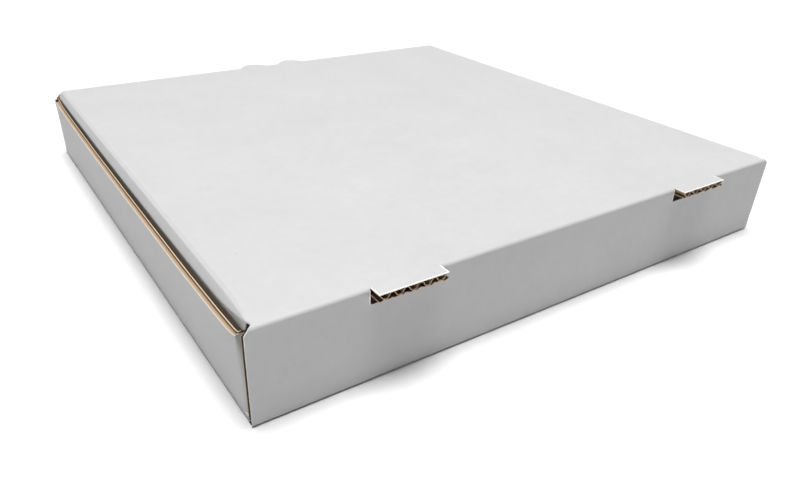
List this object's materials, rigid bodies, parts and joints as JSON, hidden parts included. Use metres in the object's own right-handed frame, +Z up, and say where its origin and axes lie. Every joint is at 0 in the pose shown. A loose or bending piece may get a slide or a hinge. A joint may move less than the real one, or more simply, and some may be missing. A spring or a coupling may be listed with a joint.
{
  "type": "pizza box",
  "caption": "Shallow square corrugated board box with a hinged lid, for carrying one pizza flat.",
  "frame": {"origin": "centre of the underside of the closed box, measured over the tabs at the back and the thumb tab at the front", "axes": "+Z up, +Y from the back wall with the hinge fold to the front wall with the thumb tab, +X to the right seen from behind"},
  "size_m": [0.3158, 0.3226, 0.0437],
  "materials": {
    "white_board": "matt white-lined corrugated board, brown inside and at cut edges"
  },
  "bodies": {
    "tray": {"tray": "white_board"},
    "lid": {"lid": "white_board"}
  },
  "joints": [
    {"name": "lid_hinge", "type": "hinge", "parent": "tray", "child": "lid", "pos_m": [0, -0.1553, 0.043], "axis": [1, 0, 0], "range_deg": [0, 180]}
  ]
}
